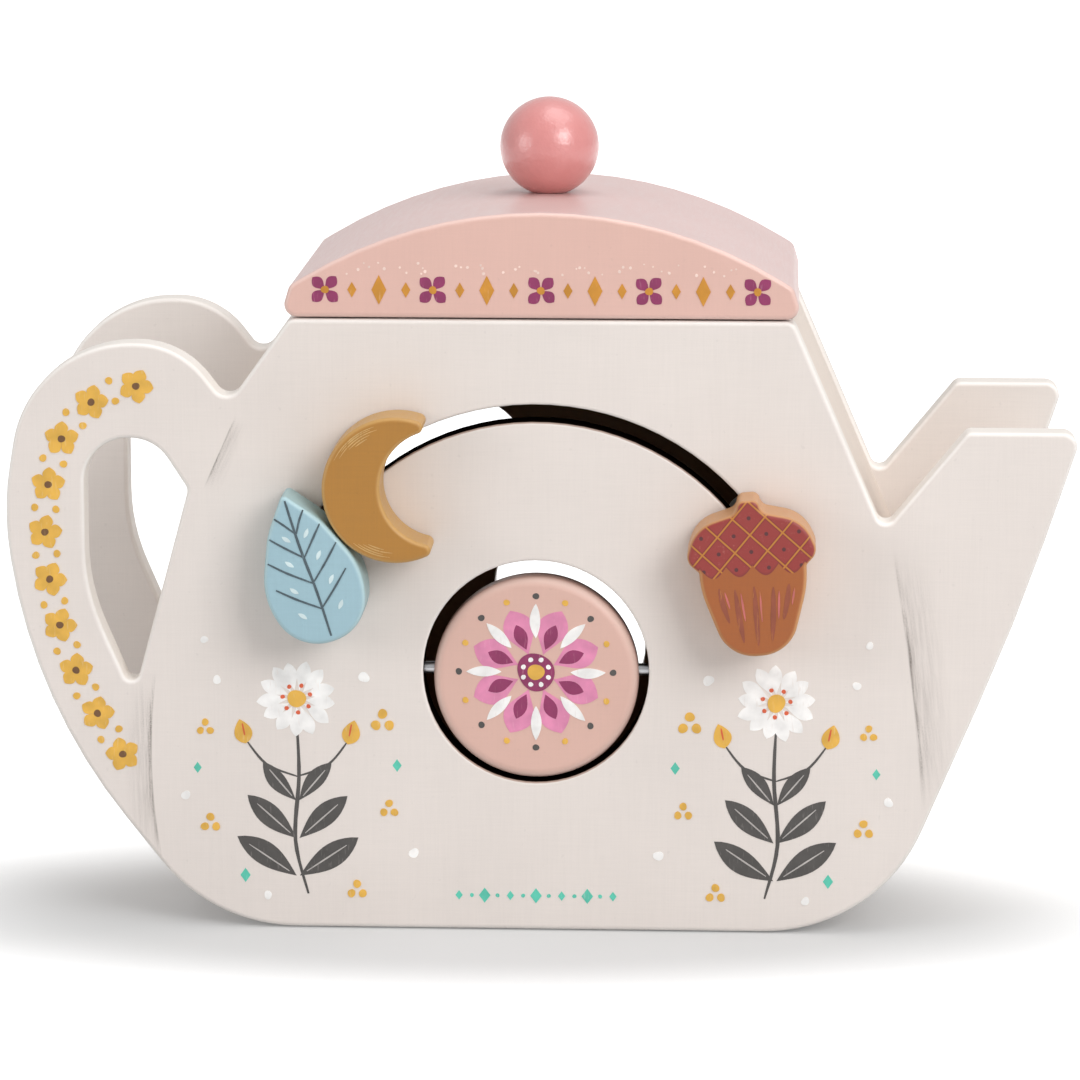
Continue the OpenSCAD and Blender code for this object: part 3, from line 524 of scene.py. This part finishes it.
relief = put(tree, "ShaderNodeBump", {"Strength": 0.4, "Distance": 0.05 * MM, "Height": rings})
put(tree, "Principled BSDF", {"Base Color": wood, "Normal": relief, "Roughness": 0.62})
for node in ("front_dowels", "back_dowels", "axle_keepers", "lid_locator", "knob_dowel"):
    frame["nodes"][node].data.materials[0] = beech

# Rod, screws and washers: drawn steel rod and zinc-plated steel screws, and pressed nylon washers that let the
# shapes slide quietly. The steel shows fine bright and dull lines along the metal, 0.3 mm apart.
steel, tree = blank_finish("drawn_steel")
place = put(tree, "ShaderNodeTexCoord").outputs["Object"]
along_rod = (1 / (20 * MM), 1 / (0.3 * MM), 1 / (0.3 * MM))
drawn = put(tree, "ShaderNodeMapping", {"Vector": place, "Scale": along_rod})
lines = put(tree, "ShaderNodeTexNoise", {"Vector": drawn, "Scale": 1.0, "Detail": 3.0})
sheen = put(tree, "ShaderNodeMapRange", [lines, 0.3, 0.7, 0.24, 0.42])
shine = put(tree, "ShaderNodeMix", [lines, linear("#8E8E90"), linear("#C4C4C6")], data_type="RGBA")
put(tree, "Principled BSDF", {"Base Color": shine, "Roughness": sheen, "Metallic": 1.0})
for node in ("disc_axle", "leaf_screw", "moon_screw", "acorn_screw", "locator_screws"):
    frame["nodes"][node].data.materials[0] = steel
# Nylon looks milky, with faint clouds some 3 mm wide and a soft moulded sheen.
nylon, tree = blank_finish("pressed_nylon")
place = put(tree, "ShaderNodeTexCoord").outputs["Object"]
haze = put(tree, "ShaderNodeTexNoise", {"Vector": place, "Scale": 1 / (3 * MM), "Detail": 2.0})
milk = put(tree, "ShaderNodeMix", [haze, linear("#CFCDC4"), linear("#E6E4DC")], data_type="RGBA")
put(tree, "Principled BSDF", {"Base Color": milk, "Roughness": 0.45})
for node in ("leaf_washer", "moon_washer", "acorn_washer"):
    frame["nodes"][node].data.materials[0] = nylon

# Lid: a solid arched block of lime wood with sanded edges, sprayed salmon all over. It lies loose on the mouth,
# located by the board screwed under it, and has a printed border of flowers and lozenges along the front.
LID_EDGE = 1.3
BORDER_PLACES, BORDER_LEFT, BORDER_PITCH, BORDER_UP = 17, -52, 6.5, 158.2
PALE_OUT = 46
# The top and ends take a more lilac pink than the front: plain paint, and partly a painted sheen of the white
# backdrop.
salmon = eggshell_paint("eggshell_paint_salmon", "#DEB6AA", "#D8BBB7", "#E6C5BB", brushed=0.014, roughness=0.34)
sanded_board("lid_block", "lid", LID_EDGE, salmon)
plum, ochre_marks, pale = [], [], []
for k in range(BORDER_PLACES):
    x, z = BORDER_LEFT + k * BORDER_PITCH, BORDER_UP
    if k % 4 == 0:
        for angle in (45, 135, 225, 315):
            plum.append(blade(x, z, angle + hand.uniform(-5, 5), 4.2, 2.8, 0.6))
        ochre_marks.append(dot(x, z, 0.95))
    else:
        ochre_marks.append(lozenge(x, z, *((1.8, 3.6) if k % 4 == 2 else (1.1, 1.9))))
    # Fine pale dots lie over the border, but not at its ends, where the arch runs low.
    for _ in range(3 if abs(x) < PALE_OUT else 0):
        pale.append(dot(x + hand.uniform(-3, 3), z + hand.uniform(3.8, 6.6), hand.uniform(0.2, 0.4)))
ink_plum = screen_ink("screen_ink_plum", "#8A2F5C", "#C98AA4")
ink_ochre = screen_ink("screen_ink_ochre", "#C98A2E", "#E2B98A")
ink_pale = screen_ink("screen_ink_pale", "#F0D6CC", "#E9C8BE")
for name, shapes, ink, layer in (("ochre", ochre_marks, ink_ochre, 1), ("plum", plum, ink_plum, 0),
                                 ("pale", pale, ink_pale, 0)):
    lay_ink("lid_print_" + name, "lid", shapes, ink, layer)

# Knob: a turned beech ball with a flat foot on a glued dowel, dipped in rose enamel. It dried to a soft gloss
# with a faint peel, so the light on it breaks up at its rim.
rose, tree = blank_finish("dipped_enamel_rose")
place = put(tree, "ShaderNodeTexCoord").outputs["Object"]
flow = put(tree, "ShaderNodeTexNoise", {"Vector": place, "Scale": 1 / (6 * MM), "Detail": 3.0})
grit = put(tree, "ShaderNodeTexNoise", {"Vector": place, "Scale": 1 / (1.2 * MM), "Detail": 2.0})
dip = put(tree, "ShaderNodeMix", [flow, linear("#CD7D7B"), linear("#D88D8A")], data_type="RGBA")
peel = put(tree, "ShaderNodeBump", {"Strength": 0.8, "Distance": 0.14 * MM, "Height": grit})
dull = put(tree, "ShaderNodeMapRange", [grit, 0.3, 0.7, 0.3, 0.42])
put(tree, "Principled BSDF", {"Base Color": dip, "Normal": peel, "Roughness": dull, "Coat Normal": peel,
                              "Coat Weight": 1.0, "Coat Roughness": 0.28})
frame["nodes"]["lid_knob"].data.materials[0] = rose

# Disc: a turned wooden disc, drilled across for the rod, painted peach all over and printed with a rosette on
# both faces, so that it looks the same whichever way it is flipped.
peach = eggshell_paint("eggshell_paint_peach", "#DAB3A6", "#D1A799", "#E2C2B6", brushed=0.015)
frame["nodes"]["window_disc"].data.materials[0] = peach
ink_pink = screen_ink("screen_ink_pink", "#E08BB0", "#EBB4C6")
low, high = (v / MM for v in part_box("window_disc"))
for face, back, side in ((low.y, False, "front"), (high.y, True, "back")):
    pinks, plums, whites, golds, darks = ([] for _ in range(5))
    for k in range(8):
        angle, half_way = 22.5 + k * 45, 45 + k * 45
        at, between = Vector(heading(angle)), Vector(heading(half_way))
        pinks.append(blade(*(WINDOW + at * 4.6), angle, 11.8, 7.4, 0.6))
        plums.append(blade(*(WINDOW + at * 6), angle, 6.6, 3.2, 0.55))
        whites.append(blade(*(WINDOW + between * 8.4), half_way, 8.6, 2.6, 0.5))
        darks.append(dot(*(WINDOW + between * 18.8), 0.8))
        golds.append(dot(*(WINDOW + at * 18.6), 0.75))
        whites.append(dot(*(WINDOW + at * 3.3), 0.6))
    plums.append(dot(*WINDOW, 4.6))
    golds.append(dot(*WINDOW, 2.0))
    for colour, shapes, ink, layer in (("pink", pinks, ink_pink, 0), ("plum", plums, ink_plum, 1),
                                       ("white", whites, ink_white, 2), ("gold", golds, ink_gold, 2),
                                       ("charcoal", darks, ink_charcoal, 0)):
        lay_ink("disc_print_" + side + "_" + colour, "disc", shapes, ink, layer, face, back)

# Leaf, moon and acorn: 14 mm beech shapes, sawn and sanded round, each on a screw through the slot. Their
# faces are painted and their sides keep a paler wash.
SHAPE_EDGE = 1.2
SHAPE_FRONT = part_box("leaf_block")[0].y / MM


def on_shape(pin, lean, outlines):
    """Sets outlines drawn round a shape's screw onto the shape as it hangs."""
    turn = Matrix.Rotation(math.radians(lean), 2)
    return [[tuple(Vector(pin) + turn @ Vector(p)) for p in outline] for outline in outlines]


LEAF_PIN, LEAF_LEAN = (-56.64, 96.07), 18.5
blue = eggshell_paint("eggshell_paint_blue", "#9DBDC8", "#9FBCC0", "#B0CDD3", brushed=0.025)
sanded_board("leaf_shape", "leaf_block", SHAPE_EDGE, blue)
veins, flecks = [stroke([(0.2, 13.6), (0, 2), (0.4, -10), (0.2, -21)], 0.65, 0.3)], []
for z, reach, rise in ((7, 3.7, 3.2), (1, 6.4, 4.8), (-5.5, 8.7, 5.8), (-12, 8.9, 5.6)):
    for way in (-1, 1):
        vein = [(0.2, z - 2), (way * reach * 0.55, z + rise * 0.35), (way * reach, z + rise)]
        veins.append(stroke(vein, 0.5, 0.4))
        flecks.append(blade(way * reach * 0.45, z - 3.4, 90 - way * 40, 2.6, 1.0, 0.5))
ink_slate = screen_ink("screen_ink_slate", "#47555C", "#7E97A0")
ink_mist = screen_ink("screen_ink_mist", "#D3E4E6", "#B4D2D9")
for name, shapes, ink, layer in (("veins", veins, ink_slate, 1), ("flecks", flecks, ink_mist, 0)):
    lay_ink("leaf_print_" + name, "leaf", on_shape(LEAF_PIN, LEAF_LEAN, shapes), ink, layer,
            SHAPE_FRONT)

MOON_PIN, MOON_LEAN = (-44.97, 110.98), 3.5
MOON_CENTRE = 10.7
ochre = eggshell_paint("eggshell_paint_ochre", "#AB7832", "#BF965C", "#C39757", brushed=0.035)
sanded_board("moon_shape", "moon_block", SHAPE_EDGE, ochre)
glints = []
for r, start, end in ((16.3, 104, 150), (15.9, 108, 140), (15.4, 102, 146), (14.8, 110, 134), (14.2, 114, 128),
                      (16.2, 228, 262), (15.7, 232, 256), (15.1, 236, 264), (14.5, 240, 256)):
    arc = [heading(start + (end - start) * k / 5) for k in range(6)]
    glints.append(stroke([(MOON_CENTRE + r * across, r * up) for across, up in arc], 0.28, 0.8))
ink_straw = screen_ink("screen_ink_straw", "#C9A468", "#AB7934", 1.0)
lay_ink("moon_print_strokes", "moon", on_shape(MOON_PIN, MOON_LEAN, glints), ink_straw, 0,
        SHAPE_FRONT)

# The acorn's cap is brick red on the front. It ends in scallops, ochre lines with a dark shade beside them
# cross it, and each lozenge between them holds a dark dot.
ACORN_PIN, ACORN_LEAN = (50.66, 101.69), 4.9
SCALLOP, HATCH = 6.3, 4.1
nut = eggshell_paint("eggshell_paint_nut", "#A05A2B", "#C4946B", "#C68E5A", brushed=0.035)
tree = nut.node_tree
ground = tree.nodes["Principled BSDF"].inputs["Base Color"].links[0].from_node
spot = put(tree, "ShaderNodeTexCoord")
own = put(tree, "ShaderNodeMapping",
          {"Vector": spot.outputs["Object"], "Location": (ACORN_PIN[0] * MM, 0, ACORN_PIN[1] * MM),
           "Rotation": (0, -math.radians(ACORN_LEAN), 0), "Scale": (MM, MM, MM)}, vector_type="TEXTURE")
at = put(tree, "ShaderNodeSeparateXYZ", [own])
wave = put(tree, "ShaderNodeMath", [at.outputs["X"], math.pi / SCALLOP], operation="MULTIPLY")
wave = put(tree, "ShaderNodeMath", [wave], operation="SINE")
wave = put(tree, "ShaderNodeMath", [wave], operation="ABSOLUTE")
wave = put(tree, "ShaderNodeMath", [wave, 2.6, 7.4], operation="MULTIPLY_ADD")
rim = put(tree, "ShaderNodeMath", [at.outputs["Z"], wave], operation="ADD")
cap = put(tree, "ShaderNodeMapRange", [rim, -0.12, 0.12])
lines = []
for way in (1, -1):
    run = put(tree, "ShaderNodeMath", [at.outputs["X"], way * 1.05 / HATCH], operation="MULTIPLY")
    run = put(tree, "ShaderNodeMath", [at.outputs["Z"], 1 / HATCH, run], operation="MULTIPLY_ADD")
    lines.append(put(tree, "ShaderNodeMath", [run, 1.0], operation="PINGPONG"))
close = put(tree, "ShaderNodeMath", lines, operation="MINIMUM")
drawn = put(tree, "ShaderNodeMapRange", [close, 0.09, 0.05])
lined = put(tree, "ShaderNodeMapRange", [close, 0.19, 0.12, 0.0, 0.6])
hem = put(tree, "ShaderNodeMapRange", [rim, 0.8, 0.2, 0.0, 0.7])
inner = [put(tree, "ShaderNodeMath", [line, 1.0], operation="SUBTRACT") for line in lines]
inner = [put(tree, "ShaderNodeMath", [line, 2.0], operation="POWER") for line in inner]
inner = put(tree, "ShaderNodeMath", inner, operation="ADD")
dots = put(tree, "ShaderNodeMapRange", [inner, 0.04, 0.02])
patch = put(tree, "ShaderNodeTexNoise", {"Vector": own, "Scale": 0.8, "Detail": 4.0, "Roughness": 0.7})
chalk = put(tree, "ShaderNodeMapRange", [patch, 0.6, 0.72, 0.0, 0.35])
brick = put(tree, "ShaderNodeMix", [chalk, linear("#8F332F"), linear("#BC746B")], data_type="RGBA")
for mark, colour in ((lined, "#6A2422"), (hem, "#742A27"), (drawn, "#B8782F"), (dots, "#4E2225")):
    brick = put(tree, "ShaderNodeMix", [mark, brick, linear(colour)], data_type="RGBA")
facing = put(tree, "ShaderNodeSeparateXYZ", [spot.outputs["Normal"]])
front = put(tree, "ShaderNodeMapRange", [facing.outputs["Y"], -0.6, -0.85])
cap = put(tree, "ShaderNodeMath", [cap, front], operation="MULTIPLY")
ground = put(tree, "ShaderNodeMix", [cap, ground, brick], data_type="RGBA")
put(tree, "Principled BSDF", {"Base Color": ground})
sanded_board("acorn_shape", "acorn_block", SHAPE_EDGE, nut)
furrows, rosy = [], []
for x, top, foot, lean in ((-8.4, -12.5, -21, 1.9), (-4.6, -13, -26, 1.2), (0, -12.6, -27, 0),
                           (4.6, -13, -26, -1.2), (8.4, -12.5, -21, -1.9)):
    furrows.append(stroke([(x, top), (x + lean * 0.4, (top + foot) / 2), (x + lean, foot)], 1.3, 0.8))
    rosy.append(stroke([(x + 1.3, top - 1), (x + 1.3 + lean * 0.5, top * 0.4 + foot * 0.6)], 0.5, 0.8))
ink_russet = screen_ink("screen_ink_russet", "#8E4A34", "#B4713A", 0.8)
ink_rosy = screen_ink("screen_ink_rosy", "#C26A66", "#B4713A", 0.8)
for name, shapes, ink, layer in (("furrows", furrows, ink_russet, 0), ("rosy", rosy, ink_rosy, 1)):
    lay_ink("acorn_print_" + name, "acorn", on_shape(ACORN_PIN, ACORN_LEAN, shapes), ink, layer,
            SHAPE_FRONT)

# Studio: a table and a white backdrop, a wide lamp overhead, one from the right and a weaker one from the left,
# as for a plain product shot. The table is grey and glows plain white away from the object, a painted light; in
# an oval round its foot the glow drops, a painted shadow round the one the lamps cast.
TABLE_HALF, TABLE_Z = 6, -0.0003
SHADOW_MIDDLE, SHADOW_REACH = (-0.013, -0.03, 0), (0.17, 0.075, 1)
SHADOW_GLOW, FULL_GLOW = 0.16, 1.0
WHITE = linear("#FFFFFF")
corners = [(x * TABLE_HALF, y * TABLE_HALF, TABLE_Z) for x, y in ((-1, -1), (1, -1), (1, 1), (-1, 1))]
table_mesh = bpy.data.meshes.new("table_top")
table_mesh.from_pydata(corners, [], [(0, 1, 2, 3)])
table = bpy.data.objects.new("table_top", table_mesh)
bpy.context.scene.collection.objects.link(table)
table_white, tree = blank_finish("white_table")
path = put(tree, "ShaderNodeLightPath").outputs
seen = put(tree, "ShaderNodeMath", [path["Is Camera Ray"], path["Is Glossy Ray"]], operation="MAXIMUM")
seen = put(tree, "ShaderNodeMath", [seen, path["Is Transmission Ray"]], operation="MAXIMUM")
place = put(tree, "ShaderNodeTexCoord").outputs["Object"]
away = put(tree, "ShaderNodeMapping", {"Vector": place, "Location": SHADOW_MIDDLE, "Scale": SHADOW_REACH},
           vector_type="TEXTURE")
away = put(tree, "ShaderNodeVectorMath", [away], operation="LENGTH")
lift = put(tree, "ShaderNodeMapRange", [away, 0.55, 1.4, SHADOW_GLOW, FULL_GLOW],
           interpolation_type="SMOOTHSTEP")
lift = put(tree, "ShaderNodeMath", [seen, lift], operation="MULTIPLY")
put(tree, "Principled BSDF", {"Base Color": linear("#C4C4C4"), "Roughness": 0.9, "Specular IOR Level": 0.0,
                              "Emission Color": WHITE, "Emission Strength": lift})
table_mesh.materials.append(table_white)

# The backdrop is white where it is seen and nearly so in gloss, and lights the object softly from all round.
AMBIENT, MORE_IN_GLOSS, MORE_IN_VIEW = 0.43, 0.35, 0.57
world = bpy.data.worlds.new("studio")
bpy.context.scene.world = world
world.use_nodes = True
tree = world.node_tree
path = put(tree, "ShaderNodeLightPath").outputs
seen = put(tree, "ShaderNodeMath", [path["Is Camera Ray"], path["Is Transmission Ray"]], operation="MAXIMUM")
level = put(tree, "ShaderNodeMath", [path["Is Glossy Ray"], MORE_IN_GLOSS, AMBIENT], operation="MULTIPLY_ADD")
level = put(tree, "ShaderNodeMath", [seen, MORE_IN_VIEW, level], operation="MULTIPLY_ADD")
put(tree, "Background", {"Color": WHITE, "Strength": level})

# Each lamp is a square sheet of light: where it stands, what it is aimed at, its side in m and its watts.
for name, site, aim, size, power in (
        ("overhead_lamp", (0.3, -0.1, 1.4), (0, 0, 0.05), 1.0, 7.5),
        ("left_lamp", (-1.25, -0.75, 0.45), (0, 0, 0.09), 0.6, 4.5),
        ("right_lamp", (1.0, -1.25, 0.95), (0, 0, 0.09), 0.9, 17.7)):
    lamp = bpy.data.lights.new(name, "AREA")
    lamp.size = size
    lamp.energy = power
    stand = bpy.data.objects.new(name, lamp)
    stand.location = site
    stand.rotation_euler = (Vector(aim) - Vector(site)).to_track_quat("-Z", "Y").to_euler()
    bpy.context.scene.collection.objects.link(stand)

# The camera stands a little right of the middle and looks slightly down, as in a catalogue picture.
EYE, AIM = Vector((0.05649, -1.23183, 0.31697)), Vector((-0.00021, -0.045, 0.09739))
optics = bpy.data.cameras.new("camera")
optics.lens = 166.3
optics.sensor_width = 36
optics.clip_start = 0.05
camera = bpy.data.objects.new("camera", optics)
camera.location = EYE
camera.rotation_euler = (AIM - EYE).to_track_quat("-Z", "Y").to_euler()
bpy.context.scene.collection.objects.link(camera)
bpy.context.scene.camera = camera
bpy.context.scene.view_settings.view_transform = "Standard"
